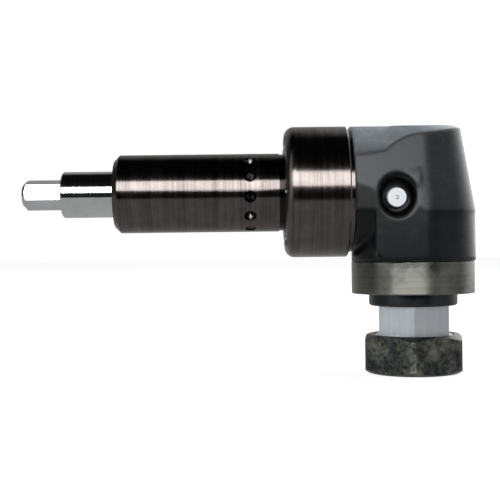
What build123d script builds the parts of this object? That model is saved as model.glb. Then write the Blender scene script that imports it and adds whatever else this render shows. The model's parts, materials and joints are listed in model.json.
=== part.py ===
from build123d import *
import os
from math import atan, cos, pi, radians, sin, sqrt, tan

# A right angle drill head. A one inch flanged shank lies along X and carries the input shaft, a
# head at its +X end turns the drive through a pair of equal bevel gears, and the spindle with its
# collet nut points down, along -Z. The origin is on the shank's axis, in the collar's shoulder face.
# All sizes are in millimetres.

# Shank and collar
SHANK_D = 25.4
SHANK_LENGTH = 54.9
SHANK_MOUTH_CHAMFER = 1.7
RELIEF_D = 24.8
RELIEF_LENGTH = 1.75
FACE_UNDERCUT_R = 13.1
FACE_UNDERCUT = 0.4
COLLAR_D = 42.4
COLLAR_LENGTH = 20.1
COLLAR_EDGE_R = 3.2
COLLAR_RIM = 0.4
SEAT_R = 19.6
SHANK_BORE_R = 8.2
DIMPLE_X = -11.1
DIMPLE_R = 1.75
DIMPLE_COUNT = 12
DIMPLE_TURN = 8.5

# Head
HEAD_X = 21.3
SPINDLE_X = 41.7
LOWER_R = 20.25
HEAD_FACE_Y = 20.2
HEAD_BOTTOM = -22.8
KINK_Z = -7.2
KINK_R = 20.4
HEAD_DRAFT = 9.65
HEAD_FLARE = 3.4
HEAD_TOP = 20.8
CROWN_R = 90.0
SHOULDER_X = 42.9
SHOULDER_Z = -3.3
SHOULDER_R = 26.24
NOSE_DOME_R = 37.6
BARREL_R = 21.3
LOWER_BARREL_R = 19.3
RELIEF_X = 27.5
RELIEF_CORNER_R = 3.3
RELIEF_FILLET = 0.4
BOSS_CHAMFER = 0.35
INSET_Y = 20.05
LOWER_STEM_R = 19.8
CAVITY_TOP = 16.4
CHAMBER_TOP = -7.4
CHAMBER_END_X = 34.3
CHAMBER_R = 13.35

# Shafts
JOURNAL_R = 7.5
HEX_DRIVE_FLATS = 8.73
HEX_DRIVE_LENGTH = 13.0
HEX_DRIVE_CROWN = 1.7
HEX_DRIVE_TURN = -10.4
JOURNAL_START = -72.05
JOURNAL_END = -39.0
SHAFT_WAIST_R = 6.5
GEAR_SEAT_R = 5.5
STUB_R = 5.0
FIT = 0.02

# Bearings: bore, outside diameter and width
MAIN_BEARING = (15.0, 28.0, 7.0)
TOP_BEARING = (10.0, 19.0, 5.0)
INPUT_BEARINGS_X = 5.0
SPINDLE_BEARINGS_Z = -17.0
TOP_BEARING_Z = 16.2
NEEDLE_SHELL_R = 10.5
NEEDLE_SHELL_WIDTH = 12.0
NEEDLE_D = 2.0
NEEDLE_COUNT = 14
SEAL_WIDTH = 3.0
REAR_SEAL_X = -54.6
SEAL_LIP = 0.5
WALL_LIP = 0.6
EDGE_BREAK = 0.3
SIDE_GAP = 0.4
CLAMP_RING_R = 12.7
BALLS = 10
BALL_D = 4.0
TOP_BALLS = 9
TOP_BALL_D = 2.5

# Bevel gears
TEETH = 16
MODULE = 1.5
FACE_WIDTH = 5.0
PRESSURE_ANGLE = 20.0
TOOTH_THINNING = 0.14
GEAR_FRONT = 9.2
GEAR_HUB_R = 9.5
KEY_WIDTH = 2.5
KEY_START = 10.0
KEY_LENGTH = 6.5
GEAR_SEAT_END = 7.4
STUB_TOP = 15.9
GEAR_NUT_R = 6.9
GEAR_NUT_WIDTH = 1.6
LOCKNUT_R = 10.0
LOCKNUT_START = 0.8

# Bearing cap, spindle nose, collet and nut
CAP_R = 19.85
CAP_BOTTOM = -33.2
CAP_EDGE = 0.3
CAP_LIP_R = 12.3
CAP_LIP_TOP = -31.05
SPINDLE_LAND_R = 10.0
SPINDLE_FLANGE_R = 14.3
FLANGE_TOP = -33.5
FLANGE_BOTTOM = -37.2
FLANGE_EDGE_R = 0.9
WRENCH_FLATS = 22.225
WRENCH_TURN = 22.5
WRENCH_BOTTOM = -46.6
NOSE_R = 12.45
NOSE_BOTTOM = -55.2
SOCKET_R = 9.1
SOCKET_TOP = -35.5
SOCKET_HALF_ANGLE = 8.0
SOCKET_CONE = 1.5
THREAD_RELIEF = 1.5
NOSE_CHAMFER = 0.6
COLLET_BORE_R = 5.0
COLLET_TRAVEL = 2.0
COLLET_TAPER_END = 0.5
COLLET_RECESS = 0.4
COLLET_LEAF = 4.0
NUT_FLATS = 30.7
NUT_CORNER_R = 17.25
NUT_TURN = 20.6
NUT_TOP = -46.5
NUT_BOTTOM = -59.0
NUT_CHAMFER_ANGLE = 30.0
NUT_FACE_R = 14.7
NUT_MOUTH_R = 8.2
COLLET_HEAD_R = 8.75
COLLET_FACE_R = 7.9
COLLET_SLOTS = 6
COLLET_SLOT = 0.8
CLIP_GROOVE_R = 7.4
CLIP_R = 10.3
CLIP_TOP = -55.75
CLIP_BOTTOM = -56.85

# Lubrication nipple
NIPPLE_X = 34.35
NIPPLE_Z = -2.8
POCKET_RIM_R = 6.25
POCKET_RIM_TALL_R = 7.87
POCKET_RIM_LIFT = 1.28
POCKET_RIM_Y = -20.8
POCKET_R = 4.6
POCKET_FLOOR_Y = -15.2
NIPPLE_R = 3.25
NIPPLE_EDGE = 0.35
NIPPLE_PLUG = 0.5
NIPPLE_FACE_Y = -17.3
NIPPLE_STEM_R = 2.5
NIPPLE_END_Y = -13.4
NIPPLE_BALL_R = 0.85
NIPPLE_BORE_R = 0.9
NIPPLE_MOUTH_R = 0.62
NIPPLE_BALL_Y = -16.45
NIPPLE_BALL_TRAVEL = 0.4

# Fasteners
COLLAR_SCREW_CIRCLE_R = 16.8
COLLAR_SCREW_COUNT = 6
COLLAR_SCREW_R = 1.5
COLLAR_SCREW_HEAD_R = 2.75
COLLAR_SCREW_SEAT = 3.3
COLLAR_SCREW_END = 28.0
DOWEL_R = 1.5
DOWEL_START = 15.0
DOWEL_END = 26.5
CAP_SCREW_CIRCLE_R = 17.05
CAP_SCREW_COUNT = 6
CAP_SCREW_R = 1.25
CAP_SCREW_HEAD_R = 2.2
CAP_SCREW_SEAT = -30.7
CAP_SCREW_END = -18.0

ON_SHANK = Location((0, 0, 0), (0, 90, 0))
ON_SPINDLE = Location((SPINDLE_X, 0, 0))
INPUT_GEAR_PLACE = Pos(SPINDLE_X, 0, 0) * Rot(0, -90, 0)
OUTPUT_GEAR_PLACE = Pos(SPINDLE_X, 0, 0) * Rot(180, 0, 0)
IN_POCKET = Pos(NIPPLE_X, 0, NIPPLE_Z) * Rot(-90, 0, 0)
ONE_SIDE = (Align.MIN, Align.CENTER, Align.MIN)
BIG = 200.0


def turned(outline, place=Location()):
    """Turn an outline of (radius, height) points about the height axis."""
    face = make_face(Polyline(*outline, close=True))
    return place * revolve(Plane.XZ * face, Axis.Z)


def ring(inner_r, outer_r, low, high, place=Location(), edge=0.0):
    """A plain turned ring, with an optional chamfer on all four edges."""
    outline = [
        (inner_r + edge, low),
        (outer_r - edge, low),
        (outer_r, low + edge),
        (outer_r, high - edge),
        (outer_r - edge, high),
        (inner_r + edge, high),
        (inner_r, high - edge),
        (inner_r, low + edge),
    ]
    corners = [(inner_r, low), (outer_r, low), (outer_r, high), (inner_r, high)]
    return turned(outline if edge else corners, place)


def disc(radius, low, high, place=Location()):
    """A solid cylinder between two heights."""
    return place * Pos(0, 0, (low + high) / 2) * Cylinder(radius, high - low)


def around(radius, count, first=0.0):
    """Places on a circle about the height axis, each turned with it."""
    return [Rot(0, 0, first + 360 * i / count) * Pos(radius, 0, 0) for i in range(count)]


def hexagon(flats, low, high, turn=0.0):
    """A hexagonal bar with a corner at the given turn from the X axis."""
    profile = RegularPolygon(flats / sqrt(3), 6)
    return Pos(0, 0, low) * Rot(0, 0, turn) * extrude(profile, high - low)


def cap_screw(head_r, head_h, shank_r, length, socket_flats):
    """A socket cap screw, its head's seat at height 0 and its shank pointing up."""
    body = disc(head_r, -head_h, 0) + disc(shank_r, 0, length)
    socket = hexagon(socket_flats, -head_h, -head_h * 0.45)
    top_edge = body.edges().filter_by(GeomType.CIRCLE).group_by(Axis.Z)[0]
    return chamfer(top_edge, head_r * 0.08) - socket


def key(width, length, low, place, bottom_r):
    """A parallel key that lies along a shaft's seat."""
    bar = Box(width, width, length)
    return place * Pos(bottom_r + width / 2, 0, low + length / 2) * bar


def slotted_nut(inner_r, outer_r, low, high, slots, slot_width, place):
    """A round nut with wrench slots round its edge."""
    nut = ring(inner_r, outer_r, low, high, Location(), 0.25)
    for spot in around(outer_r, slots, 45):
        nut -= spot * Pos(0, 0, (low + high) / 2) * Box(1.6, slot_width, BIG)
    return place * nut


def ball_bearing(size, low, balls, ball_d, place):
    """A deep groove bearing: its outer ring, its inner ring, and its caged balls."""
    bore, outside, width = size
    pitch_r = (bore + outside) / 4
    middle = low + width / 2
    wall = 0.32 * ball_d
    race = Pos(0, 0, middle) * Torus(pitch_r, ball_d / 2 + FIT)
    outer = ring(pitch_r + wall, outside / 2, low, low + width, Location(), 0.3) - race
    inner = ring(bore / 2, pitch_r - wall, low, low + width, Location(), 0.3) - race
    cage_half = ball_d * 0.62
    cage = ring(pitch_r - 0.35, pitch_r + 0.35, middle - cage_half, middle + cage_half)
    pieces = []
    for spot in around(pitch_r, balls):
        centre = spot * Pos(0, 0, middle)
        cage -= centre * Rot(0, 90, 0) * Cylinder(ball_d / 2 + FIT, 2.0)
        pieces.append(centre * Sphere(ball_d / 2))
    caged = Compound([place * piece for piece in (cage, *pieces)])
    return place * outer, place * inner, caged


def flanged_shank():
    """The sleeve and its collar, turned in one piece, bored for the input shaft."""
    mouth_r = SHANK_D / 2 - SHANK_MOUTH_CHAMFER
    bearing_bore_r = MAIN_BEARING[1] / 2
    locknut_room_r = LOCKNUT_R + 1
    locknut_room_end = LOCKNUT_START - EDGE_BREAK
    sleeve_end = -SHANK_LENGTH
    needle_end = JOURNAL_END - EDGE_BREAK
    body = turned(
        [
            (NEEDLE_SHELL_R, sleeve_end),
            (mouth_r, sleeve_end),
            (SHANK_D / 2, sleeve_end + SHANK_MOUTH_CHAMFER),
            (SHANK_D / 2, -RELIEF_LENGTH),
            (RELIEF_D / 2, -RELIEF_LENGTH),
            (RELIEF_D / 2, FACE_UNDERCUT),
            (FACE_UNDERCUT_R, FACE_UNDERCUT),
            (FACE_UNDERCUT_R, 0),
            (COLLAR_D / 2, 0),
            (COLLAR_D / 2, COLLAR_LENGTH - COLLAR_RIM),
            (COLLAR_D / 2 - COLLAR_RIM / 2, COLLAR_LENGTH),
            (SEAT_R, COLLAR_LENGTH),
            (SEAT_R, HEAD_X),
            (bearing_bore_r, HEAD_X),
            (bearing_bore_r, INPUT_BEARINGS_X),
            (locknut_room_r, INPUT_BEARINGS_X),
            (locknut_room_r, locknut_room_end),
            (SHANK_BORE_R, locknut_room_end),
            (SHANK_BORE_R, needle_end),
            (NEEDLE_SHELL_R, needle_end),
        ],
        ON_SHANK,
    )
    rim = [e for e in body.edges().filter_by(GeomType.CIRCLE) if abs(e.center().X) < 0.01]
    body = fillet(max(rim, key=lambda e: e.radius), COLLAR_EDGE_R)
    cone = Pos(0, 0, DIMPLE_X) * Pos(SHANK_D / 2 - DIMPLE_R, 0, 0) * Rot(0, 90, 0)
    drill = cone * Pos(0, 0, DIMPLE_R) * Cone(0.01, 2 * DIMPLE_R, 2 * DIMPLE_R)
    for i in range(DIMPLE_COUNT):
        body -= ON_SHANK * Rot(0, 0, DIMPLE_TURN + 360 * i / DIMPLE_COUNT) * drill
    for spot in collar_screw_places():
        body -= ON_SHANK * spot * disc(COLLAR_SCREW_HEAD_R + 0.1, -1, COLLAR_SCREW_SEAT)
        body -= ON_SHANK * spot * disc(COLLAR_SCREW_R + 0.15, 0, HEAD_X + 1)
    return body - ON_SHANK * dowel_place() * disc(DOWEL_R, DOWEL_START, HEAD_X + 1)


def collar_screw_places():
    return around(COLLAR_SCREW_CIRCLE_R, COLLAR_SCREW_COUNT, 30)


def dowel_place():
    return Rot(0, 0, 180) * Pos(COLLAR_SCREW_CIRCLE_R, 0, 0)


def cap_screw_places():
    return around(CAP_SCREW_CIRCLE_R, CAP_SCREW_COUNT, 0)


def u_plan(radius, left, flare):
    """A plan outline: half round about the spindle, with flanks that open towards the shank."""
    s, c = sin(radians(flare)), cos(radians(flare))
    touch = (SPINDLE_X + radius * s, radius * c)
    half = touch[1] + (touch[0] - left) * tan(radians(flare))
    flank = Line((left, half), touch)
    nose = ThreePointArc(touch, (SPINDLE_X + radius, 0), (touch[0], -touch[1]))
    other = Line((touch[0], -touch[1]), (left, -half))
    return make_face([flank, nose, other, Line((left, -half), (left, half))])


def drafted_block():
    """The head's outer block: upright below the kink, drafted and flared above it."""
    slope = tan(radians(HEAD_DRAFT))
    low, high = HEAD_BOTTOM - 1, HEAD_TOP + 1
    wide = u_plan(KINK_R + slope * (KINK_Z - low), HEAD_X, HEAD_FLARE)
    narrow = u_plan(KINK_R + slope * (KINK_Z - high), HEAD_X, HEAD_FLARE)
    return loft([Pos(0, 0, low) * wide, Pos(0, 0, high) * narrow], ruled=True)


def shoulder_dome():
    """The dome that rounds the head's shoulders, turned about a line below the shank's axis."""
    start = SHOULDER_X - SHOULDER_R
    nose_x = SHOULDER_X + SHOULDER_R
    drop = NOSE_DOME_R - sqrt(NOSE_DOME_R**2 - SHOULDER_R**2)
    near = (SHOULDER_X - SHOULDER_R * sqrt(0.5), SHOULDER_R * sqrt(0.5))
    far_x = SHOULDER_X + SHOULDER_R / 2
    far = (far_x, SHOULDER_R - NOSE_DOME_R + sqrt(NOSE_DOME_R**2 - (SHOULDER_R / 2) ** 2))
    profile = make_face(
        [
            ThreePointArc((start, 0), near, (SHOULDER_X, SHOULDER_R)),
            ThreePointArc((SHOULDER_X, SHOULDER_R), far, (nose_x, SHOULDER_R - drop)),
            Line((nose_x, SHOULDER_R - drop), (nose_x, 0)),
            Line((nose_x, 0), (start, 0)),
        ]
    )
    return Pos(0, 0, SHOULDER_Z) * revolve(Plane.XZ * profile, Axis.X)


def head_outside():
    """The head as cast and machined outside, before its bores."""
    above = Pos(0, 0, KINK_Z + BIG / 2) * Box(BIG, BIG, BIG)
    slab = Box(BIG, 2 * HEAD_FACE_Y, BIG)
    upper = drafted_block() & (shoulder_dome() + disc(BARREL_R, HEAD_X, SPINDLE_X, ON_SHANK))
    upper = upper & Pos(0, 0, HEAD_TOP - CROWN_R) * Rot(0, 90, 0) * Cylinder(CROWN_R, BIG)
    upper = upper & above & slab
    step = Pos(0, 0, KINK_Z) * Box(2 * RELIEF_X, BIG, BIG) - Box(BIG, 2 * INSET_Y, BIG)
    lower = Pos(0, 0, HEAD_BOTTOM) * extrude(u_plan(LOWER_R, RELIEF_X, 0), KINK_Z - HEAD_BOTTOM)
    corner = lower.edges().filter_by(Axis.Y).sort_by(Axis.Z)[0]
    lower = fillet(corner, RELIEF_CORNER_R) & slab
    outer = [e for e in lower.edges() if abs(abs(e.center().Y) - HEAD_FACE_Y) < 0.01]
    outer = [e for e in outer if e.center().X < RELIEF_X + RELIEF_CORNER_R]
    foot = [e for e in lower.edges().group_by(Axis.Z)[0] if e.center().X > SPINDLE_X]
    lower = chamfer(outer + foot, BOSS_CHAMFER)
    under = disc(LOWER_BARREL_R, HEAD_X, SPINDLE_X, ON_SHANK)
    stem = disc(LOWER_STEM_R, HEAD_BOTTOM, KINK_Z - 1, ON_SPINDLE)
    relieved = under + stem
    seam = [e for e in relieved.edges() if e.center().X < RELIEF_X and e.geom_type != GeomType.CIRCLE]
    relieved = fillet(seam, RELIEF_FILLET)
    return relieved + (upper - step) + lower


def head_housing():
    """The head, with its bores for the two shafts, their bearings and the nipple."""
    bearing_r = MAIN_BEARING[1] / 2
    head = head_outside()
    head -= disc(CHAMBER_R, HEAD_X - 1, CHAMBER_END_X, ON_SHANK)
    head -= disc(bearing_r, HEAD_BOTTOM - 1, SPINDLE_BEARINGS_Z, ON_SPINDLE)
    head -= disc(CHAMBER_R, SPINDLE_BEARINGS_Z, CHAMBER_TOP, ON_SPINDLE)
    head -= disc(TOP_BEARING[1] / 2, CHAMBER_TOP, CAVITY_TOP, ON_SPINDLE)
    for spot in collar_screw_places():
        head -= ON_SHANK * spot * disc(COLLAR_SCREW_R, HEAD_X - 1, COLLAR_SCREW_END + 1)
    head -= ON_SHANK * dowel_place() * disc(DOWEL_R, HEAD_X - 1, DOWEL_END + 0.5)
    for spot in cap_screw_places():
        head -= ON_SPINDLE * spot * disc(CAP_SCREW_R, HEAD_BOTTOM - 1, CAP_SCREW_END + 0.5)
    head -= disc(NIPPLE_STEM_R, POCKET_FLOOR_Y - 1, NIPPLE_END_Y + 3, IN_POCKET)
    return head - pocket_mouth()


def pocket_mouth():
    """The flared mouth of the nipple's pocket, a little taller than it is wide."""
    rim = Ellipse(POCKET_RIM_R, POCKET_RIM_TALL_R)
    floor = Ellipse(POCKET_R, POCKET_R + FIT)
    low = Pos(0, 0, POCKET_FLOOR_Y) * floor
    return IN_POCKET * loft([Pos(0, -POCKET_RIM_LIFT, POCKET_RIM_Y) * rim, low])


def bearing_cap():
    """The ring under the head that holds the lower spindle bearings and the seal."""
    bore_r = MAIN_BEARING[1] / 2
    cap = turned(
        [
            (bore_r, HEAD_BOTTOM),
            (CAP_R - CAP_EDGE, HEAD_BOTTOM),
            (CAP_R, HEAD_BOTTOM - CAP_EDGE),
            (CAP_R, CAP_BOTTOM + CAP_EDGE),
            (CAP_R - CAP_EDGE, CAP_BOTTOM),
            (CAP_LIP_R, CAP_BOTTOM),
            (CAP_LIP_R, CAP_LIP_TOP),
            (bore_r, CAP_LIP_TOP),
        ],
        ON_SPINDLE,
    )
    for spot in cap_screw_places():
        cap -= ON_SPINDLE * spot * disc(CAP_SCREW_HEAD_R + 0.1, CAP_BOTTOM - 1, CAP_SCREW_SEAT)
        cap -= ON_SPINDLE * spot * disc(CAP_SCREW_R + 0.1, CAP_BOTTOM, HEAD_BOTTOM + 1)
    return cap


def input_shaft():
    """The polished journal with its hexagonal drive end, and the seat for the bevel gear."""
    tip = JOURNAL_START - HEX_DRIVE_LENGTH
    corner_r = HEX_DRIVE_FLATS / sqrt(3)
    crown = turned(
        [
            (0, tip),
            (corner_r - HEX_DRIVE_CROWN, tip),
            (corner_r + 0.1, tip + HEX_DRIVE_CROWN),
            (corner_r + 0.1, JOURNAL_START + 1),
            (0, JOURNAL_START + 1),
        ]
    )
    drive = crown & hexagon(HEX_DRIVE_FLATS, tip, JOURNAL_START + 1, HEX_DRIVE_TURN)
    bearing_end = INPUT_BEARINGS_X + 2 * MAIN_BEARING[2]
    bar = turned(
        [
            (0, JOURNAL_START),
            (JOURNAL_R - 0.5, JOURNAL_START),
            (JOURNAL_R, JOURNAL_START + 0.5),
            (JOURNAL_R, JOURNAL_END),
            (SHAFT_WAIST_R, JOURNAL_END),
            (SHAFT_WAIST_R, LOCKNUT_START - 0.5),
            (JOURNAL_R, LOCKNUT_START - 0.5),
            (JOURNAL_R, bearing_end),
            (GEAR_SEAT_R, bearing_end),
            (GEAR_SEAT_R, SPINDLE_X - GEAR_SEAT_END),
            (0, SPINDLE_X - GEAR_SEAT_END),
        ]
    )
    shaft = ON_SHANK * (drive + bar)
    return shaft - gear_key(INPUT_GEAR_PLACE)


def output_spindle():
    """The spindle: stub, gear seat, bearing journal, flange, wrench hexagon and threaded nose."""
    socket_top_r = SOCKET_R - (SOCKET_TOP - NOSE_BOTTOM) * tan(radians(SOCKET_HALF_ANGLE))
    bar = turned(
        [
            (0, STUB_TOP),
            (STUB_R - 0.4, STUB_TOP),
            (STUB_R, STUB_TOP - 0.4),
            (STUB_R, -GEAR_SEAT_END),
            (GEAR_SEAT_R, -GEAR_SEAT_END),
            (GEAR_SEAT_R, SPINDLE_BEARINGS_Z),
            (JOURNAL_R, SPINDLE_BEARINGS_Z),
            (JOURNAL_R, CAP_LIP_TOP),
            (SPINDLE_LAND_R, CAP_LIP_TOP),
            (SPINDLE_LAND_R, FLANGE_TOP),
            (SPINDLE_FLANGE_R, FLANGE_TOP),
            (SPINDLE_FLANGE_R, FLANGE_BOTTOM),
            (NOSE_R - THREAD_RELIEF, FLANGE_BOTTOM),
            (NOSE_R - THREAD_RELIEF, WRENCH_BOTTOM),
            (NOSE_R, WRENCH_BOTTOM),
            (NOSE_R, NOSE_BOTTOM + NOSE_CHAMFER),
            (NOSE_R - NOSE_CHAMFER, NOSE_BOTTOM),
            (SOCKET_R, NOSE_BOTTOM),
            (socket_top_r, SOCKET_TOP),
            (0, SOCKET_TOP + SOCKET_CONE),
        ]
    )
    rim = [e for e in bar.edges().filter_by(GeomType.CIRCLE) if abs(e.center().Z - FLANGE_BOTTOM) < 0.01]
    bar = fillet(max(rim, key=lambda e: e.radius), FLANGE_EDGE_R)
    flats = hexagon(WRENCH_FLATS, WRENCH_BOTTOM, FLANGE_BOTTOM, WRENCH_TURN)
    flats -= disc(NOSE_R - 2, WRENCH_BOTTOM - 1, FLANGE_BOTTOM + 1)
    return ON_SPINDLE * (bar + flats) - gear_key(OUTPUT_GEAR_PLACE)


def gear_key(place):
    """The parallel key between a bevel gear and its seat, in the gear's own frame."""
    return key(KEY_WIDTH, KEY_LENGTH, KEY_START, place, GEAR_SEAT_R - KEY_WIDTH / 2)


def tooth_section(scale):
    """A tooth's section across its pitch line, at a share of the way out from the apex."""
    cone = TEETH * MODULE / 2 * sqrt(2)
    base = cone * cos(radians(PRESSURE_ANGLE))
    half_pitch_angle = (pi * MODULE / 2 - TOOTH_THINNING) / 2 / cone
    s = sqrt(0.5)

    def flank(rho, side):
        """A point of the involute flank, seen from the apex on the plane across the tooth."""
        roll = sqrt(max((rho / base) ** 2 - 1, 0))
        roll_at_pitch = tan(radians(PRESSURE_ANGLE))
        angle = half_pitch_angle + involute(roll_at_pitch) - involute(roll)
        turn = side * angle / s
        x, y, z = rho * s * cos(turn), rho * s * sin(turn), (2 * cone - rho) * s
        near = cone / ((x + z) * s)
        return scale * near * y, scale * near * (z - x) * s

    root = cone - 1.25 * MODULE - 0.6
    tip = cone + MODULE + 0.3
    sides = []
    for side in (-1, 1):
        foot, start = flank(root, side), flank(base, side)
        sides.append([foot, start, flank(cone, side), flank(tip, side)])
    left, right = sides
    outline = [
        Line(left[0], left[1]),
        ThreePointArc(left[1], left[2], left[3]),
        Line(left[3], right[3]),
        ThreePointArc(right[3], right[2], right[1]),
        Line(right[1], right[0]),
        Line(right[0], left[0]),
    ]
    across = Plane(origin=(cone * scale * s, 0, cone * scale * s), x_dir=(0, 1, 0), z_dir=(s, 0, s))
    return across * make_face(outline)


def involute(roll):
    """The involute angle of a point whose unrolled length is roll base radii."""
    return roll - atan(roll)


def bevel_gear(place, hub_end, turn):
    """A straight toothed bevel gear of a pair at right angles, its apex at its own origin."""
    pitch_r = TEETH * MODULE / 2
    cone = pitch_r * sqrt(2)
    inner = (cone - FACE_WIDTH) / cone
    s = sqrt(0.5)
    tip = (pitch_r + MODULE * s, pitch_r - MODULE * s)
    root = (pitch_r - 1.25 * MODULE * s, pitch_r + 1.25 * MODULE * s)
    blank = turned(
        [
            (GEAR_SEAT_R, GEAR_FRONT),
            (root[0] * inner - 0.2, GEAR_FRONT),
            (root[0] * inner, root[1] * inner),
            root,
            (GEAR_HUB_R, root[1] + 1.2),
            (GEAR_HUB_R, hub_end),
            (GEAR_SEAT_R, hub_end),
        ]
    )
    band = turned(
        [
            (tip[0] * inner, tip[1] * inner),
            tip,
            root,
            (root[0] - 0.3, root[1]),
            (root[0] * inner - 0.2, root[1] * inner + 0.2),
            (root[0] * inner, root[1] * inner),
        ]
    )
    tooth = band & loft([tooth_section(inner * 0.9), tooth_section(1.1)], ruled=True)
    gear = blank + [Rot(0, 0, turn + 360 * i / TEETH) * tooth for i in range(TEETH)]
    return place * gear - gear_key(place)


def collet():
    """A slotted collet with a groove for the clip ring that pulls it out."""
    slope = tan(radians(SOCKET_HALF_ANGLE))
    top = SOCKET_TOP - COLLET_TRAVEL
    big_end = NOSE_BOTTOM - COLLET_TAPER_END
    face = NUT_BOTTOM + COLLET_RECESS
    top_r = SOCKET_R - FIT - (top - NOSE_BOTTOM) * slope
    body = turned(
        [
            (COLLET_BORE_R, top),
            (top_r, top),
            (SOCKET_R - FIT, NOSE_BOTTOM),
            (SOCKET_R - FIT, big_end),
            (CLIP_GROOVE_R, big_end),
            (CLIP_GROOVE_R, CLIP_BOTTOM - 0.05),
            (COLLET_HEAD_R, CLIP_BOTTOM - 0.05),
            (COLLET_HEAD_R, CLIP_BOTTOM - 0.25),
            (COLLET_FACE_R, face),
            (COLLET_BORE_R, face),
        ]
    )
    slot = Box(BIG, COLLET_SLOT, top - face - COLLET_LEAF, align=ONE_SIDE)
    for i in range(COLLET_SLOTS):
        cut = Rot(0, 0, 360 * i / COLLET_SLOTS) * slot
        shift = face - FIT if i % 2 else face + COLLET_LEAF + FIT
        body -= Pos(0, 0, shift) * cut
    return ON_SPINDLE * body


def collet_nut():
    """The hexagonal nut, its corners turned down, with the seat that closes the collet."""
    drop = tan(radians(NUT_CHAMFER_ANGLE)) * (NUT_CORNER_R - NUT_FACE_R)
    envelope = turned(
        [
            (0, NUT_TOP),
            (NUT_FACE_R, NUT_TOP),
            (NUT_CORNER_R, NUT_TOP - drop),
            (NUT_CORNER_R, NUT_BOTTOM + drop),
            (NUT_FACE_R, NUT_BOTTOM),
            (0, NUT_BOTTOM),
        ]
    )
    inside = turned(
        [
            (0, NUT_TOP + 1),
            (NOSE_R + 0.6, NUT_TOP + 1),
            (NOSE_R + 0.6, NUT_TOP - 0.4),
            (NOSE_R + 0.05, NUT_TOP - 1.0),
            (NOSE_R + 0.05, CLIP_TOP + 0.1),
            (CLIP_R + 0.05, CLIP_TOP + 0.1),
            (CLIP_R + 0.05, CLIP_BOTTOM - 0.05),
            (COLLET_HEAD_R + 0.1, CLIP_BOTTOM - 0.05),
            (COLLET_HEAD_R + 0.1, CLIP_BOTTOM - 0.2),
            (NUT_MOUTH_R, CLIP_BOTTOM - 1.3),
            (NUT_MOUTH_R, NUT_BOTTOM - 1),
            (0, NUT_BOTTOM - 1),
        ]
    )
    flats = hexagon(NUT_FLATS, NUT_BOTTOM, NUT_TOP, NUT_TURN)
    return ON_SPINDLE * ((flats & envelope) - inside)


def needle_bearing():
    """The drawn shell of the rear bearing, and its caged needles."""
    low = JOURNAL_END - SIDE_GAP - NEEDLE_SHELL_WIDTH
    high = JOURNAL_END - SIDE_GAP
    pitch_r = JOURNAL_R + FIT + NEEDLE_D / 2
    race_r = pitch_r + NEEDLE_D / 2 + FIT
    lip = WALL_LIP
    lip_r = JOURNAL_R + SEAL_LIP
    shell = turned(
        [
            (lip_r, low),
            (NEEDLE_SHELL_R, low),
            (NEEDLE_SHELL_R, high),
            (lip_r, high),
            (lip_r, high - lip),
            (race_r, high - lip),
            (race_r, low + lip),
            (lip_r, low + lip),
        ],
        ON_SHANK,
    )
    cage = ring(pitch_r - 0.35, pitch_r + 0.35, low + lip + 0.2, high - lip - 0.2)
    needle = disc(NEEDLE_D / 2, low + lip + 0.9, high - lip - 0.9)
    window = disc(NEEDLE_D / 2 + FIT, low + lip + 0.8, high - lip - 0.8)
    needles = []
    for spot in around(pitch_r, NEEDLE_COUNT):
        cage -= spot * window
        needles.append(spot * needle)
    return shell, Compound([ON_SHANK * piece for piece in (cage, *needles)])


def nipple_body():
    """The lubrication nipple: a round head, a plugged stem, and the bore for its ball."""
    return turned(
        [
            (NIPPLE_BORE_R, NIPPLE_FACE_Y + 0.25),
            (NIPPLE_MOUTH_R, NIPPLE_FACE_Y + 0.25),
            (NIPPLE_MOUTH_R, NIPPLE_FACE_Y),
            (NIPPLE_R - NIPPLE_EDGE, NIPPLE_FACE_Y),
            (NIPPLE_R, NIPPLE_FACE_Y + NIPPLE_EDGE),
            (NIPPLE_R, POCKET_FLOOR_Y),
            (NIPPLE_STEM_R, POCKET_FLOOR_Y),
            (NIPPLE_STEM_R, NIPPLE_END_Y),
            (NIPPLE_BORE_R * 0.5, NIPPLE_END_Y),
            (NIPPLE_BORE_R * 0.5, NIPPLE_END_Y - NIPPLE_PLUG),
            (NIPPLE_BORE_R, NIPPLE_END_Y - NIPPLE_PLUG),
        ],
        IN_POCKET,
    )


def nipple_spring():
    """The small spring that holds the nipple's ball on its seat."""
    back_of_ball = NIPPLE_BALL_Y + NIPPLE_BALL_R
    length = NIPPLE_END_Y - NIPPLE_PLUG - NIPPLE_BALL_TRAVEL - 0.1 - back_of_ball
    coil_r = NIPPLE_BORE_R - 0.25
    wire = 0.11
    path = Helix(length / 3, length - 2 * wire, coil_r)
    section = Plane(origin=path @ 0, z_dir=path % 0) * RegularPolygon(wire, 6)
    coil = Pos(0, 0, back_of_ball + wire) * sweep(section, path)
    return IN_POCKET * coil


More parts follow.
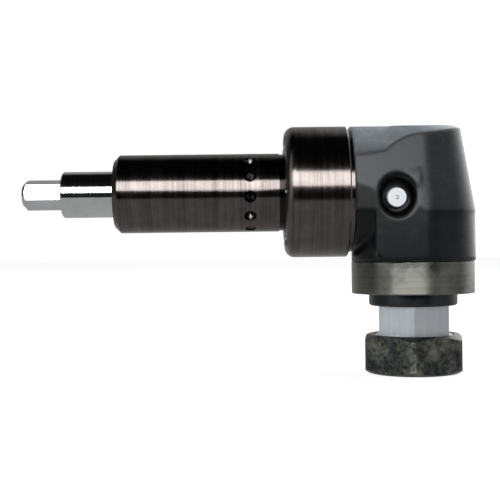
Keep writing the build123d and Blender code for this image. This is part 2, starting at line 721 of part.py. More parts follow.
def build():
    """Every piece by its name."""
    input_end = INPUT_BEARINGS_X + 2 * MAIN_BEARING[2]
    parts = {
        "flanged_shank": flanged_shank(),
        "head_housing": head_housing(),
        "bearing_cap": bearing_cap(),
        "input_shaft": input_shaft(),
        "output_spindle": output_spindle(),
        "input_bevel_gear": bevel_gear(INPUT_GEAR_PLACE, SPINDLE_X - input_end, 180 / TEETH),
        "output_bevel_gear": bevel_gear(OUTPUT_GEAR_PLACE, -SPINDLE_BEARINGS_Z, 0),
        "input_gear_key": gear_key(INPUT_GEAR_PLACE),
        "output_gear_key": gear_key(OUTPUT_GEAR_PLACE),
        "collet": collet(),
        "collet_nut": collet_nut(),
        "collet_clip_ring": ring(CLIP_GROOVE_R + 0.1, CLIP_R, CLIP_BOTTOM, CLIP_TOP, ON_SPINDLE),
        "nipple_body": nipple_body(),
        "nipple_ball": IN_POCKET * Pos(0, 0, NIPPLE_BALL_Y) * Sphere(NIPPLE_BALL_R),
        "nipple_spring": nipple_spring(),
        "spindle_seal": ring(
            SPINDLE_LAND_R + FIT, CAP_LIP_R, CAP_BOTTOM + 0.05, CAP_LIP_TOP - 0.05, ON_SPINDLE
        ),
        "rear_shaft_seal": ring(
            JOURNAL_R + FIT, NEEDLE_SHELL_R, REAR_SEAL_X, REAR_SEAL_X + SEAL_WIDTH, ON_SHANK
        ),
        "input_bearing_clamp_ring": ring(
            CLAMP_RING_R, MAIN_BEARING[1] / 2, input_end, HEAD_X, ON_SHANK
        ),
        "input_locknut": slotted_nut(
            JOURNAL_R, LOCKNUT_R, LOCKNUT_START, INPUT_BEARINGS_X, 4, 2.5, ON_SHANK
        ),
        "dowel_pin": ON_SHANK * dowel_place() * disc(DOWEL_R, DOWEL_START, DOWEL_END),
    }
    for name, place in (("input", INPUT_GEAR_PLACE), ("output", OUTPUT_GEAR_PLACE)):
        parts[f"{name}_gear_nut"] = slotted_nut(
            GEAR_SEAT_R, GEAR_NUT_R, GEAR_FRONT - GEAR_NUT_WIDTH, GEAR_FRONT, 2, 1.5, place
        )
    bearings = {
        "input_left_bearing": (MAIN_BEARING, INPUT_BEARINGS_X, ON_SHANK),
        "input_right_bearing": (MAIN_BEARING, INPUT_BEARINGS_X + MAIN_BEARING[2], ON_SHANK),
        "spindle_middle_bearing": (MAIN_BEARING, SPINDLE_BEARINGS_Z - MAIN_BEARING[2], ON_SPINDLE),
        "spindle_lower_bearing": (
            MAIN_BEARING,
            SPINDLE_BEARINGS_Z - 2 * MAIN_BEARING[2],
            ON_SPINDLE,
        ),
        "spindle_top_bearing": (TOP_BEARING, TOP_BEARING_Z - TOP_BEARING[2], ON_SPINDLE),
    }
    for name, (size, low, place) in bearings.items():
        balls, ball_d = (BALLS, BALL_D) if size is MAIN_BEARING else (TOP_BALLS, TOP_BALL_D)
        outer, inner, caged = ball_bearing(size, low, balls, ball_d, place)
        parts[f"{name}_outer_ring"] = outer
        parts[f"{name}_inner_ring"] = inner
        parts[f"{name}_balls"] = caged
    parts["rear_needle_shell"], parts["rear_needles"] = needle_bearing()
    collar_screw = cap_screw(
        COLLAR_SCREW_HEAD_R, 3.0, COLLAR_SCREW_R, COLLAR_SCREW_END - COLLAR_SCREW_SEAT, 2.5
    )
    parts["collar_screws"] = Compound(
        [ON_SHANK * spot * Pos(0, 0, COLLAR_SCREW_SEAT) * collar_screw for spot in collar_screw_places()]
    )
    cap_bolt = cap_screw(CAP_SCREW_HEAD_R, 2.3, CAP_SCREW_R, CAP_SCREW_END - CAP_SCREW_SEAT, 2.0)
    parts["cap_screws"] = Compound(
        [ON_SPINDLE * spot * Pos(0, 0, CAP_SCREW_SEAT) * cap_bolt for spot in cap_screw_places()]
    )
    return parts


os.makedirs("parts", exist_ok=True)
for node, solid in build().items():
    export_step(solid, f"parts/{node}.step")
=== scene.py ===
# %% [markdown]
# # A right angle drill head
#
# The object is a one inch shank with a wide collar, a black head that turns the drive through
# a right angle, and a spindle with a collet nut that points down. Its solids come ready made, in
# metres, so this lesson gives them their finishes, adds the small things that are too fine for
# the solids, and builds the light, the floor and the camera.

# %% Load the solids
import bpy
import bmesh
import json
import math
from mathutils import Matrix, Vector


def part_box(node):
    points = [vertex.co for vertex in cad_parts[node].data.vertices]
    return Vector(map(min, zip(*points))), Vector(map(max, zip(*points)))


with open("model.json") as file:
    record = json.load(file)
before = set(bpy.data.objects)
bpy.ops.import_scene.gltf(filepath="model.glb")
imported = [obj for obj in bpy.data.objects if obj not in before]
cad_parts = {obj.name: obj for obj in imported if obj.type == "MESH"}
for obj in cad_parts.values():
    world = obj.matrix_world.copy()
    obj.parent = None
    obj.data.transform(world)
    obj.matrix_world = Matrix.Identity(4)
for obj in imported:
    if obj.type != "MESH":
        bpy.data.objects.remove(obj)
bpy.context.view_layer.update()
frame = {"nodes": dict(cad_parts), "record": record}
nodes = frame["nodes"]
print(len(nodes), "nodes loaded")

# %% [markdown]
# ## Where things are
#
# The shank lies along X with its axis through the origin. The spindle's axis is upright. Its
# place is measured from the solids, so that the spindle's patterns below follow it.

# %% Measure the main places
MM = 0.001
spindle_low, spindle_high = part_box("output_spindle")
SPINDLE_X = (spindle_low.x + spindle_high.x) / 2
print("spindle axis at", round(SPINDLE_X / MM, 2), "mm")

# %% [markdown]
# ## Helpers for the node trees
#
# Every finish here is a Principled surface with a few nodes in front of it. One helper makes an
# empty material and hands back what the next lines need. The others make nodes and small chains
# of them.

# %% Helpers for materials
def new_finish(name):
    """A material with its node tree and its Principled surface."""
    material = bpy.data.materials.new(name)
    material.use_nodes = True
    tree = material.node_tree
    return material, tree, tree.nodes["Principled BSDF"]


def node(tree, kind, **settings):
    """A new node with its properties set."""
    made = tree.nodes.new(kind)
    for key, value in settings.items():
        setattr(made, key, value)
    return made


def math_node(tree, operation, first, second=0.0, third=0.0):
    """A Math node, fed with sockets or plain numbers. Gives its output."""
    made = node(tree, "ShaderNodeMath", operation=operation)
    for socket, value in zip(made.inputs, (first, second, third)):
        if isinstance(value, bpy.types.NodeSocket):
            tree.links.new(value, socket)
        else:
            socket.default_value = value
    return made.outputs[0]


def object_place(tree, scale=(1, 1, 1), shift=(0, 0, 0), turn=(0, 0, 0)):
    """Object coordinates through a Mapping node."""
    place = node(tree, "ShaderNodeTexCoord")
    mapping = node(tree, "ShaderNodeMapping")
    mapping.inputs["Scale"].default_value = scale
    mapping.inputs["Location"].default_value = shift
    mapping.inputs["Rotation"].default_value = turn
    tree.links.new(place.outputs["Object"], mapping.inputs["Vector"])
    return mapping.outputs["Vector"]


def noise(tree, place, scale, detail=3.0, roughness=0.55):
    """A noise pattern on the given coordinates. Gives its value."""
    made = node(tree, "ShaderNodeTexNoise")
    made.inputs["Scale"].default_value = scale
    made.inputs["Detail"].default_value = detail
    made.inputs["Roughness"].default_value = roughness
    tree.links.new(place, made.inputs["Vector"])
    return made.outputs["Fac"]


def spread(tree, value, low, high, start=0.0, end=1.0):
    """Stretches a value from low..high to start..end, and holds it there outside."""
    made = node(tree, "ShaderNodeMapRange")
    for name, number in zip(("From Min", "From Max", "To Min", "To Max"), (low, high, start, end)):
        made.inputs[name].default_value = number
    tree.links.new(value, made.inputs["Value"])
    return made.outputs["Result"]


def colours(tree, value, low, high):
    """Mixes two colours by a value. A colour is three numbers or another mix."""
    made = node(tree, "ShaderNodeMix", data_type="RGBA")
    for socket, colour in ((made.inputs[6], low), (made.inputs[7], high)):
        if isinstance(colour, bpy.types.NodeSocket):
            tree.links.new(colour, socket)
        else:
            socket.default_value = (*colour, 1)
    tree.links.new(value, made.inputs[0])
    return made.outputs[2]


def bump(tree, surface, height, distance):
    """Feeds a height into the surface's normal."""
    made = node(tree, "ShaderNodeBump")
    made.inputs["Distance"].default_value = distance
    made.inputs["Strength"].default_value = 1.0
    tree.links.new(height, made.inputs["Height"])
    tree.links.new(made.outputs["Normal"], surface.inputs["Normal"])
    return made


def tangent_round(tree, surface, axis, amount):
    """Stretches the gloss across fine turned lines that run round an axis."""
    tangent = node(tree, "ShaderNodeTangent", direction_type="RADIAL", axis=axis)
    tree.links.new(tangent.outputs["Tangent"], surface.inputs["Tangent"])
    surface.inputs["Anisotropic"].default_value = amount
    surface.inputs["Anisotropic Rotation"].default_value = 0.25


# %% [markdown]
# ## Effects that several finishes share
#
# Three small node groups carry what turned and blackened steel has in common: the fine lines that
# a cutting tool leaves, the cloudy patches of a chemical black, and the worn edges. Each group
# gives one value from 0 to 1, and each finish decides what that value does.

# %% A node group with one output
def effect_group(name, inputs):
    """An empty shader group with number or vector inputs and one output called Value."""
    group = bpy.data.node_groups.new(name, "ShaderNodeTree")
    for title, kind, default in inputs:
        socket = group.interface.new_socket(title, in_out="INPUT", socket_type=kind)
        socket.default_value = default
    group.interface.new_socket("Value", in_out="OUTPUT", socket_type="NodeSocketFloat")
    return group, group.nodes.new("NodeGroupInput"), group.nodes.new("NodeGroupOutput")


def use_effect(tree, group, **values):
    """Puts a group into a material, sets its inputs and gives its value."""
    made = node(tree, "ShaderNodeGroup", node_tree=group)
    for title, value in values.items():
        made.inputs[title].default_value = value
    return made.outputs["Value"]


# %% Lines left by the cutting tool
def turned_lines():
    """Fine and coarse lines; Stretch is 1 along the axis that they are stacked on, 0 across it."""
    group, start, end = effect_group("turned lines", [
        ("Stretch", "NodeSocketVector", (1, 0, 0)), ("Scale", "NodeSocketFloat", 1500)])
    place = node(group, "ShaderNodeTexCoord")
    along = node(group, "ShaderNodeVectorMath", operation="MULTIPLY")
    group.links.new(place.outputs["Object"], along.inputs[0])
    group.links.new(start.outputs["Stretch"], along.inputs[1])
    drift = node(group, "ShaderNodeVectorMath", operation="MULTIPLY_ADD")
    group.links.new(place.outputs["Object"], drift.inputs[0])
    drift.inputs[1].default_value = (0.012, 0.012, 0.012)
    group.links.new(along.outputs[0], drift.inputs[2])
    fine = node(group, "ShaderNodeTexNoise")
    fine.inputs["Detail"].default_value = 4
    group.links.new(drift.outputs[0], fine.inputs["Vector"])
    group.links.new(start.outputs["Scale"], fine.inputs["Scale"])
    group.links.new(spread(group, fine.outputs["Fac"], 0.3, 0.7), end.inputs["Value"])
    return group


# %% Patches in a chemical black
def cloudy_patches():
    """Ragged patches; Cover is how much of the surface they take."""
    group, start, end = effect_group("cloudy patches", [
        ("Scale", "NodeSocketFloat", 120), ("Cover", "NodeSocketFloat", 0.5)])
    place = node(group, "ShaderNodeTexCoord")
    cloud = node(group, "ShaderNodeTexNoise")
    cloud.inputs["Detail"].default_value = 9
    cloud.inputs["Roughness"].default_value = 0.68
    group.links.new(place.outputs["Object"], cloud.inputs["Vector"])
    group.links.new(start.outputs["Scale"], cloud.inputs["Scale"])
    line = math_node(group, "SUBTRACT", 1.0, start.outputs["Cover"])
    gap = math_node(group, "SUBTRACT", cloud.outputs["Fac"], line)
    group.links.new(spread(group, gap, -0.06, 0.1), end.inputs["Value"])
    return group


# %% Worn edges
def worn_edges():
    """1 where the surface turns sharply within the given radius."""
    group, start, end = effect_group("worn edges", [("Radius", "NodeSocketFloat", 0.0004)])
    rounded = node(group, "ShaderNodeBevel", samples=6)
    group.links.new(start.outputs["Radius"], rounded.inputs["Radius"])
    flat = node(group, "ShaderNodeNewGeometry")
    match = node(group, "ShaderNodeVectorMath", operation="DOT_PRODUCT")
    group.links.new(rounded.outputs["Normal"], match.inputs[0])
    group.links.new(flat.outputs["Normal"], match.inputs[1])
    group.links.new(spread(group, match.outputs["Value"], 0.99, 0.8), end.inputs["Value"])
    return group


LINES, PATCHES, EDGES = turned_lines(), cloudy_patches(), worn_edges()
print("groups", [group.name for group in (LINES, PATCHES, EDGES)])


# %% [markdown]
# ## The blackened shank
#
# The sleeve and its collar are turned steel with a black oxide. The cutting tool left fine lines
# round them, which smear a reflection along the shank, so the gloss is anisotropic. The index
# dimples are drilled after turning. A ring of painted shade, near black, sits in each dimple,
# and more painted shade lies in the groove beside the collar.

# %% Distance from an axis, for finishes that change with it
def from_axis(tree, axis, centre=(0, 0, 0)):
    """The distance from a line through a place, along X or Z."""
    place = node(tree, "ShaderNodeTexCoord")
    shift = node(tree, "ShaderNodeVectorMath", operation="SUBTRACT")
    shift.inputs[1].default_value = centre
    tree.links.new(place.outputs["Object"], shift.inputs[0])
    flat = node(tree, "ShaderNodeVectorMath", operation="MULTIPLY")
    flat.inputs[1].default_value = (0, 1, 1) if axis == "X" else (1, 1, 0)
    tree.links.new(shift.outputs[0], flat.inputs[0])
    length = node(tree, "ShaderNodeVectorMath", operation="LENGTH")
    tree.links.new(flat.outputs[0], length.inputs[0])
    return length.outputs["Value"]


# %% Black oxide on turned steel
def shank_oxide():
    """Turned and blackened steel, with lines round X, and painted shade in the dimples and in the
    groove beside the collar.
    """
    material, tree, surface = new_finish("shank_oxide")
    fine = use_effect(tree, LINES, Stretch=(1, 0, 0), Scale=1100)
    broad = use_effect(tree, LINES, Stretch=(1, 0, 0), Scale=240)
    cloud = use_effect(tree, PATCHES, Scale=150, Cover=0.5)
    streak = math_node(tree, "MULTIPLY_ADD", fine, 0.5, math_node(tree, "MULTIPLY", broad, 0.3))
    streak = math_node(tree, "MULTIPLY_ADD", cloud, 0.2, streak)
    shade = colours(tree, streak, (0.062, 0.05, 0.047), (0.19, 0.172, 0.165))
    edge = use_effect(tree, EDGES, Radius=0.0003)
    wear = math_node(tree, "MULTIPLY", edge, spread(tree, fine, 0.2, 0.8, 0.15, 0.6))
    shade = colours(tree, wear, shade, (0.3, 0.29, 0.28))
    # Painted shade: near black mixed into the colour in the dimples and in the groove beside the
    # collar.
    recess_painted_shade = math_node(tree, "MAXIMUM", dimple_painted_shade(tree), groove_painted_shade(tree))
    shade = colours(tree, recess_painted_shade, shade, (0.006, 0.006, 0.006))
    tree.links.new(shade, surface.inputs["Base Color"])
    surface.inputs["Metallic"].default_value = 1.0
    tree.links.new(spread(tree, streak, 0.1, 0.9, 0.15, 0.25), surface.inputs["Roughness"])
    tangent_round(tree, surface, "X", 0.75)
    bump(tree, surface, fine, 0.000003)
    return material


# %% Painted shade in the dimples and the groove
DIMPLES_X = -11.1 * MM
DIMPLES_TURN = math.radians(8.5)
SLEEVE_R = 12.7 * MM


def dimple_painted_shade(tree):
    """Painted shade mask: 1 on a ring in each dimple, with its middle left open, 0 elsewhere."""
    place = node(tree, "ShaderNodeTexCoord")
    split = node(tree, "ShaderNodeSeparateXYZ")
    tree.links.new(place.outputs["Object"], split.inputs[0])
    x, y, z = split.outputs
    turn = math_node(tree, "ARCTAN2", y, math_node(tree, "MULTIPLY", z, -1))
    turn = math_node(tree, "SUBTRACT", turn, DIMPLES_TURN - math.radians(15))
    turn = math_node(tree, "FLOORED_MODULO", turn, math.radians(30))
    across = math_node(tree, "MULTIPLY", math_node(tree, "SUBTRACT", turn, math.radians(15)), SLEEVE_R)
    along = math_node(tree, "SUBTRACT", x, DIMPLES_X)
    gap = math_node(tree, "SQRT", math_node(
        tree, "MULTIPLY_ADD", across, across, math_node(tree, "MULTIPLY", along, along)))
    ring = spread(tree, gap, 2.05 * MM, 1.85 * MM)
    open_middle = spread(tree, gap, 1.0 * MM, 1.35 * MM)
    return math_node(tree, "MULTIPLY", ring, open_middle)


def groove_painted_shade(tree):
    """Painted shade mask: 1 in the groove beside the collar, 0 elsewhere."""
    place = node(tree, "ShaderNodeTexCoord")
    split = node(tree, "ShaderNodeSeparateXYZ")
    tree.links.new(place.outputs["Object"], split.inputs[0])
    groove = spread(tree, split.outputs["X"], -2.0 * MM, -1.6 * MM)
    inside = spread(tree, from_axis(tree, "X"), 13.2 * MM, 12.9 * MM)
    return math_node(tree, "MULTIPLY", groove, math_node(tree, "MULTIPLY", inside, 0.85))


# %% [markdown]
# ## The head's enamel
#
# The head is a casting under a satin black enamel. Enamel flows, so every ridge of the casting is
# softened: the normal comes from a Bevel node, which rounds the shading and leaves the shape.

# %% Satin black enamel
def head_enamel():
    """Satin enamel with a faint orange peel, a few pale specks and thin edges."""
    material, tree, surface = new_finish("head_enamel")
    cloud = noise(tree, object_place(tree), 260, 5)
    grain = noise(tree, object_place(tree), 2600, 3)
    tone = math_node(tree, "MULTIPLY_ADD", grain, 0.35, math_node(tree, "MULTIPLY", cloud, 0.65))
    shade = colours(tree, spread(tree, tone, 0.35, 0.65), (0.052, 0.06, 0.066), (0.074, 0.083, 0.09))
    speck = node(tree, "ShaderNodeTexVoronoi")
    speck.inputs["Scale"].default_value = 260
    tree.links.new(object_place(tree), speck.inputs["Vector"])
    dot = spread(tree, speck.outputs["Distance"], 0.05, 0.02)
    pick = spread(tree, node_value(tree, speck, "Color"), 0.8, 0.82)
    fleck = math_node(tree, "MULTIPLY", dot, pick)
    shade = colours(tree, fleck, shade, (0.4, 0.42, 0.43))
    edge = use_effect(tree, EDGES, Radius=0.00035)
    thin = math_node(tree, "MULTIPLY", edge, 0.5)
    shade = colours(tree, thin, shade, (0.13, 0.145, 0.15))
    shade = colours(tree, pocket_shadow(tree), shade, (0.002, 0.002, 0.002))
    tree.links.new(shade, surface.inputs["Base Color"])
    tree.links.new(spread(tree, tone, 0.3, 0.7, 0.22, 0.3), surface.inputs["Roughness"])
    surface.inputs["Specular IOR Level"].default_value = 0.25
    rounded = node(tree, "ShaderNodeBevel", samples=8)
    rounded.inputs["Radius"].default_value = 0.002
    skin = bump(tree, surface, grain, 0.000008)
    tree.links.new(rounded.outputs["Normal"], skin.inputs["Normal"])
    return material


def pocket_shadow(tree):
    """1 on the walls and floor of the nipple's pocket, 0 outside it."""
    low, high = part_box("nipple_body")
    middle = ((low.x + high.x) / 2, 0, (low.z + high.z) / 2)
    place = node(tree, "ShaderNodeTexCoord")
    shift = node(tree, "ShaderNodeVectorMath", operation="SUBTRACT")
    tree.links.new(place.outputs["Object"], shift.inputs[0])
    shift.inputs[1].default_value = middle
    flat = node(tree, "ShaderNodeVectorMath", operation="MULTIPLY")
    tree.links.new(shift.outputs[0], flat.inputs[0])
    flat.inputs[1].default_value = (1, 0, 0.85)
    length = node(tree, "ShaderNodeVectorMath", operation="LENGTH")
    tree.links.new(flat.outputs[0], length.inputs[0])
    near = spread(tree, length.outputs["Value"], 6.2 * MM, 5.6 * MM)
    split = node(tree, "ShaderNodeSeparateXYZ")
    tree.links.new(place.outputs["Object"], split.inputs[0])
    front = spread(tree, split.outputs["Y"], -13 * MM, -14 * MM)
    return math_node(tree, "MULTIPLY", near, front)


def node_value(tree, source, output):
    """One number from a colour output: its first channel."""
    split = node(tree, "ShaderNodeSeparateColor")
    tree.links.new(source.outputs[output], split.inputs[0])
    return split.outputs[0]


# %% [markdown]
# ## Worn black steel: the bearing cap and the nut
#
# Both are blackened steel that hands and wrenches have rubbed. On the cap the turned lines run
# round the spindle. On the nut the black is left in ragged islands, with an olive grey between.

# %% The cap's turned steel
def cap_steel():
    """Turned steel, thinly blackened, with lines round Z."""
    material, tree, surface = new_finish("cap_steel")
    fine = use_effect(tree, LINES, Stretch=(0, 0, 1), Scale=1300)
    cloud = use_effect(tree, PATCHES, Scale=110, Cover=0.52)
    tone = math_node(tree, "MULTIPLY_ADD", cloud, 0.6, math_node(tree, "MULTIPLY", fine, 0.4))
    shade = colours(tree, tone, (0.12, 0.125, 0.118), (0.235, 0.235, 0.205))
    edge = use_effect(tree, EDGES, Radius=0.0003)
    shade = colours(tree, math_node(tree, "MULTIPLY", edge, 0.6), shade, (0.36, 0.36, 0.34))
    tree.links.new(shade, surface.inputs["Base Color"])
    surface.inputs["Metallic"].default_value = 1.0
    tree.links.new(spread(tree, tone, 0.1, 0.9, 0.26, 0.38), surface.inputs["Roughness"])
    tangent_round(tree, surface, "Z", 0.7)
    bump(tree, surface, fine, 0.000003)
    return material


# %% The nut's worn oxide
def nut_oxide():
    """Black oxide worn to olive grey in ragged patches."""
    material, tree, surface = new_finish("nut_oxide")
    patch = use_effect(tree, PATCHES, Scale=190, Cover=0.48)
    small = use_effect(tree, PATCHES, Scale=650, Cover=0.5)
    tone = math_node(tree, "MULTIPLY_ADD", small, 0.35, math_node(tree, "MULTIPLY", patch, 0.65))
    shade = colours(tree, tone, (0.035, 0.04, 0.042), (0.215, 0.22, 0.185))
    edge = use_effect(tree, EDGES, Radius=0.00035)
    shade = colours(tree, math_node(tree, "MULTIPLY", edge, 0.5), shade, (0.33, 0.34, 0.32))
    tree.links.new(shade, surface.inputs["Base Color"])
    surface.inputs["Metallic"].default_value = 0.9
    tree.links.new(spread(tree, tone, 0.1, 0.9, 0.3, 0.48), surface.inputs["Roughness"])
    bump(tree, surface, tone, 0.00002)
    return material


# %% [markdown]
# ## The spindle and the drive shaft
#
# The spindle shows three finishes in one piece: a black flange, a bright wrench hexagon and a
# threaded nose. They change with the height, so one material mixes them by Z. The thread is a
# height pattern, because its ridges are far too fine for the solids.

# %% Bright steel with a black flange
def spindle_steel():
    """Satin steel below the flange and black oxide on it, with a thread on the nose."""
    material, tree, surface = new_finish("bright_steel")
    place = node(tree, "ShaderNodeTexCoord")
    split = node(tree, "ShaderNodeSeparateXYZ")
    tree.links.new(place.outputs["Object"], split.inputs[0])
    height = split.outputs["Z"]
    satin = noise(tree, object_place(tree, (1, 1, 0.06)), 900, 3)
    cloud = noise(tree, object_place(tree), 130, 4)
    tone = math_node(tree, "MULTIPLY_ADD", satin, 0.5, math_node(tree, "MULTIPLY", cloud, 0.5))
    bright = colours(tree, spread(tree, tone, 0.35, 0.65), (0.57, 0.61, 0.65), (0.66, 0.7, 0.73))
    black = colours(tree, cloud, (0.03, 0.034, 0.036), (0.06, 0.066, 0.07))
    flange = spread(tree, height, -37.25 * MM, -37.15 * MM)
    wide = spread(tree, from_axis(tree, "Z", (SPINDLE_X, 0, 0)), 10.5 * MM, 10.6 * MM)
    blackened = math_node(tree, "MULTIPLY", flange, wide)
    tree.links.new(colours(tree, blackened, bright, black), surface.inputs["Base Color"])
    surface.inputs["Metallic"].default_value = 1.0
    gloss = spread(tree, tone, 0.3, 0.7, 0.34, 0.44)
    gloss = math_node(tree, "MULTIPLY_ADD", blackened, -0.16, gloss)
    tree.links.new(gloss, surface.inputs["Roughness"])
    turn = math_node(tree, "ARCTAN2", split.outputs["Y"],
                     math_node(tree, "SUBTRACT", split.outputs["X"], SPINDLE_X))
    climb = math_node(tree, "DIVIDE", height, 1.5 * MM)
    wind = math_node(tree, "MULTIPLY_ADD", turn, 1 / (2 * math.pi), climb)
    ridge = math_node(tree, "PINGPONG", wind, 0.5)
    nose = math_node(tree, "MULTIPLY", spread(tree, height, -46.5 * MM, -46.7 * MM),
                     spread(tree, from_axis(tree, "Z", (SPINDLE_X, 0, 0)), 12.2 * MM, 12.3 * MM))
    bump(tree, surface, math_node(tree, "MULTIPLY", ridge, nose), 0.0006)
    return material


# %% Polished steel of the drive shaft
def polished_steel():
    """Ground and polished steel, with faint lines round X."""
    material, tree, surface = new_finish("polished_steel")
    fine = use_effect(tree, LINES, Stretch=(1, 0, 0), Scale=1600)
    cloud = noise(tree, object_place(tree), 160, 4)
    shade = colours(tree, spread(tree, cloud, 0.35, 0.65), (0.66, 0.68, 0.68), (0.76, 0.78, 0.79))
    tree.links.new(shade, surface.inputs["Base Color"])
    surface.inputs["Metallic"].default_value = 1.0
    tree.links.new(spread(tree, fine, 0, 1, 0.06, 0.13), surface.inputs["Roughness"])
    tangent_round(tree, surface, "X", 0.4)
    bump(tree, surface, cloud, 0.00001)
    return material


# %% [markdown]
# ## The smaller and hidden pieces
#
# Seals, balls, rings, gears and screws get quieter finishes. Each still has a little unevenness in
# its tone and gloss, so that nothing looks like plastic when a piece is taken out on its own.

# %% Quiet finishes
def quiet_finish(name, colour, metallic, roughness):
    """A finish with a little unevenness in its tone and gloss."""
    material, tree, surface = new_finish(name)
    cloud = noise(tree, object_place(tree), 180, 4)
    low = tuple(0.85 * c for c in colour)
    high = tuple(min(1.0, 1.12 * c) for c in colour)
    tree.links.new(colours(tree, cloud, low, high), surface.inputs["Base Color"])
    surface.inputs["Metallic"].default_value = metallic
    rough = spread(tree, cloud, 0.3, 0.7, roughness * 0.85, roughness * 1.15)
    tree.links.new(rough, surface.inputs["Roughness"])
    return material


finishes = {
    "shank_oxide": shank_oxide(),
    "head_enamel": head_enamel(),
    "cap_steel": cap_steel(),
    "nut_oxide": nut_oxide(),
    "bright_steel": spindle_steel(),
    "polished_steel": polished_steel(),
    "seal_rubber": quiet_finish("seal_rubber", (0.02, 0.02, 0.02), 0.0, 0.6),
    "nipple_steel": quiet_finish("nipple_steel", (0.72, 0.76, 0.8), 0.6, 0.5),
    "bearing_steel": quiet_finish("bearing_steel", (0.6, 0.61, 0.62), 1.0, 0.25),
    "screw_oxide": quiet_finish("screw_oxide", (0.05, 0.05, 0.05), 0.8, 0.35),
    "gear_steel": quiet_finish("gear_steel", (0.4, 0.4, 0.39), 1.0, 0.35),
}

# %% Give each solid its finish
slot_of = {entry["node"]: entry["material_slot"] for entry in frame["record"]["subparts"]}
for name, solid in nodes.items():
    for slot in solid.material_slots:
        slot.material = finishes[slot_of[name]]
print(len(finishes), "finishes given out")

# %% [markdown]
# ## The light
#
# What a shiny piece shows is its surroundings, so the world is written as directions. Seen from the
# side it is a ramp of bands round X: dark behind the camera, dark above it, grey towards the floor.
# To the left and right stand pale walls, and behind on the right is a bright one. The camera sees
# plain white. Matte surfaces get a weak even light, and lamps do the rest.

# %% The surroundings as bands of direction
def ramp(tree, value, stops):
    """A colour ramp in greys, from (place, level) pairs."""
    made = node(tree, "ShaderNodeValToRGB")
    points = made.color_ramp.elements
    while len(points) < len(stops):
        points.new(0.5)
    for point, (place, level) in zip(points, stops):
        point.position = place
        point.color = (level, level, level, 1)
    tree.links.new(value, made.inputs[0])
    return node_value(tree, made, "Color")


BANDS = [(-180, 0.35), (-150, 0.5), (-110, 0.5), (-60, 0.4), (-24, 0.3), (-15, 0.012), (36, 0.004),
         (116, 0.004), (134, 0.28), (180, 0.36)]
SIDES = [(-180, 0.35), (-120, 0.06), (-84, 0.06), (-74, 0.85), (-48, 0.7), (-20, 0.05), (20, 0.05),
         (44, 0.5), (66, 0.4), (92, 0.3), (125, 1.8), (180, 1.8)]


def share_of_turn(degrees):
    return degrees / 360 + 0.5


def studio_world():
    """White for the camera, bands for glossy rays, a weak even light for matte surfaces."""
    world = bpy.data.worlds.new("studio")
    bpy.context.scene.world = world
    world.use_nodes = True
    tree = world.node_tree
    tree.nodes.clear()
    place = node(tree, "ShaderNodeTexCoord")
    split = node(tree, "ShaderNodeSeparateXYZ")
    tree.links.new(place.outputs["Generated"], split.inputs[0])
    across, depth, height = split.outputs
    front = math_node(tree, "MULTIPLY", depth, -1)
    rise = math_node(tree, "MULTIPLY_ADD", math_node(tree, "ARCTAN2", height, front),
                     1 / (2 * math.pi), 0.5)
    swing = math_node(tree, "MULTIPLY_ADD", math_node(tree, "ARCTAN2", across, front),
                      1 / (2 * math.pi), 0.5)
    bands = ramp(tree, rise, [(share_of_turn(d), level) for d, level in BANDS])
    sides = ramp(tree, swing, [(share_of_turn(d), level) for d, level in SIDES])
    sideways = spread(tree, math_node(tree, "ABSOLUTE", across), 0.4, 0.75)
    level = math_node(tree, "MULTIPLY", bands, math_node(tree, "SUBTRACT", 1.0, sideways))
    level = math_node(tree, "MULTIPLY_ADD", sides, sideways, level)
    wall = math_node(tree, "MULTIPLY", spread(tree, depth, 0.3, 0.6),
                     spread(tree, across, 0.05, 0.3, 0.0, 1.8))
    level = math_node(tree, "MAXIMUM", level, wall)
    path = node(tree, "ShaderNodeLightPath")
    matte = math_node(tree, "MULTIPLY", path.outputs["Is Diffuse Ray"], 1.0)
    kept = math_node(tree, "SUBTRACT", 1.0, matte)
    level = math_node(tree, "MULTIPLY_ADD", level, kept, math_node(tree, "MULTIPLY", matte, 0.04))
    seen = math_node(tree, "MAXIMUM", level, path.outputs["Is Camera Ray"])
    light = node(tree, "ShaderNodeBackground")
    tree.links.new(seen, light.inputs["Color"])
    out = node(tree, "ShaderNodeOutputWorld")
    tree.links.new(light.outputs[0], out.inputs["Surface"])


studio_world()


# %% [markdown]
# ## Lamps
#
# A soft box in front and a little above draws the bright band along the shank. A second one, over
# the head and a little behind, reaches only matte surfaces, and gives the enamel its grey slopes.

# %% Soft boxes
def soft_box(name, place, aim, size, radiance, glossy):
    """An aimed rectangular light, for glossy surfaces or for matte ones. Sizes in metres."""
    lamp = bpy.data.lights.new(name, "AREA")
    lamp.shape = "RECTANGLE"
    lamp.size, lamp.size_y = size
    lamp.energy = radiance * size[0] * size[1] * math.pi
    holder = bpy.data.objects.new(name, lamp)
    bpy.context.scene.collection.objects.link(holder)
    holder.location = place
    direction = Vector(aim) - Vector(place)
    holder.rotation_euler = direction.to_track_quat("-Z", "Y").to_euler()
    holder.visible_glossy = glossy
    holder.visible_diffuse = not glossy
    holder.visible_camera = False
    return holder


def at_angle(elevation, azimuth, distance):
    """A place round the head: elevation above the horizon in front, azimuth to the right."""
    e, a = math.radians(elevation), math.radians(azimuth)
    flat = distance * math.cos(e)
    return (flat * math.sin(a), -flat * math.cos(a), distance * math.sin(e))


soft_box("front box", at_angle(21, -12, 0.9), (0, 0, 0), (1.1, 0.42), 7.0, True)
soft_box("top box", at_angle(97, 0, 0.9), (0.04, 0, 0), (1.0, 0.5), 20.0, False)

# %% [markdown]
# ## The floor
#
# The floor lies just under the nut. It is white for the camera and for reflections, and it keeps a
# soft shadow: an emission that is mixed with a matte white only where a shadow would fall.

# %% Lay the floor
FLOOR_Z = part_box("collet_nut")[0].z - 0.0002


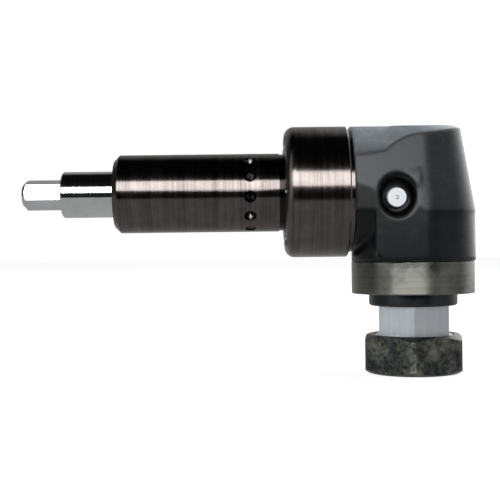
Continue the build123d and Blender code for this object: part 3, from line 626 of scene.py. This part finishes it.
def pale_floor():
    """A wide pale plane under and behind the object."""
    mesh = bpy.data.meshes.new("floor")
    shape = bmesh.new()
    corners = [shape.verts.new((x, y, 0)) for x, y in ((-3, -0.2), (3, -0.2), (3, 4), (-3, 4))]
    shape.faces.new(corners)
    shape.to_mesh(mesh)
    shape.free()
    floor = bpy.data.objects.new("floor", mesh)
    floor.location = (0, 0, FLOOR_Z)
    bpy.context.scene.collection.objects.link(floor)
    material, tree, surface = new_finish("pale floor")
    surface.inputs["Base Color"].default_value = (0.9, 0.9, 0.9, 1)
    surface.inputs["Roughness"].default_value = 0.9
    surface.inputs["Specular IOR Level"].default_value = 0.0
    path = node(tree, "ShaderNodeLightPath")
    seen = path.outputs["Is Camera Ray"]
    level = math_node(tree, "MULTIPLY_ADD", path.outputs["Is Glossy Ray"], 0.37, 0.03)
    level = math_node(tree, "MAXIMUM", level, math_node(tree, "MULTIPLY", seen, 1.12))
    glow = node(tree, "ShaderNodeEmission")
    tree.links.new(level, glow.inputs["Strength"])
    share = math_node(tree, "MULTIPLY_ADD", seen, -0.15, 1.0)
    blend = node(tree, "ShaderNodeMixShader")
    tree.links.new(share, blend.inputs[0])
    tree.links.new(surface.outputs[0], blend.inputs[1])
    tree.links.new(glow.outputs[0], blend.inputs[2])
    out = tree.nodes["Material Output"]
    tree.links.new(blend.outputs[0], out.inputs["Surface"])
    mesh.materials.append(material)


pale_floor()

# %% [markdown]
# ## The camera
#
# A lens of 72 mm on a 36 mm sensor, 326 mm from the axes, gives the photograph's perspective. The
# camera is turned a little about its own axis, because the object leans that way in the frame.

# %% Place the camera
CAMERA_PLACE = (-11.35 * MM, -326.8 * MM, -18.64 * MM)
CAMERA_LEAN = 0.68

lens = bpy.data.cameras.new("camera")
lens.lens = 72
lens.sensor_width = 36
lens.clip_start = 0.01
camera = bpy.data.objects.new("camera", lens)
bpy.context.scene.collection.objects.link(camera)
camera.location = CAMERA_PLACE
camera.rotation_euler = (math.radians(90), math.radians(CAMERA_LEAN), 0)
bpy.context.scene.camera = camera
bpy.context.scene.view_settings.view_transform = "Standard"
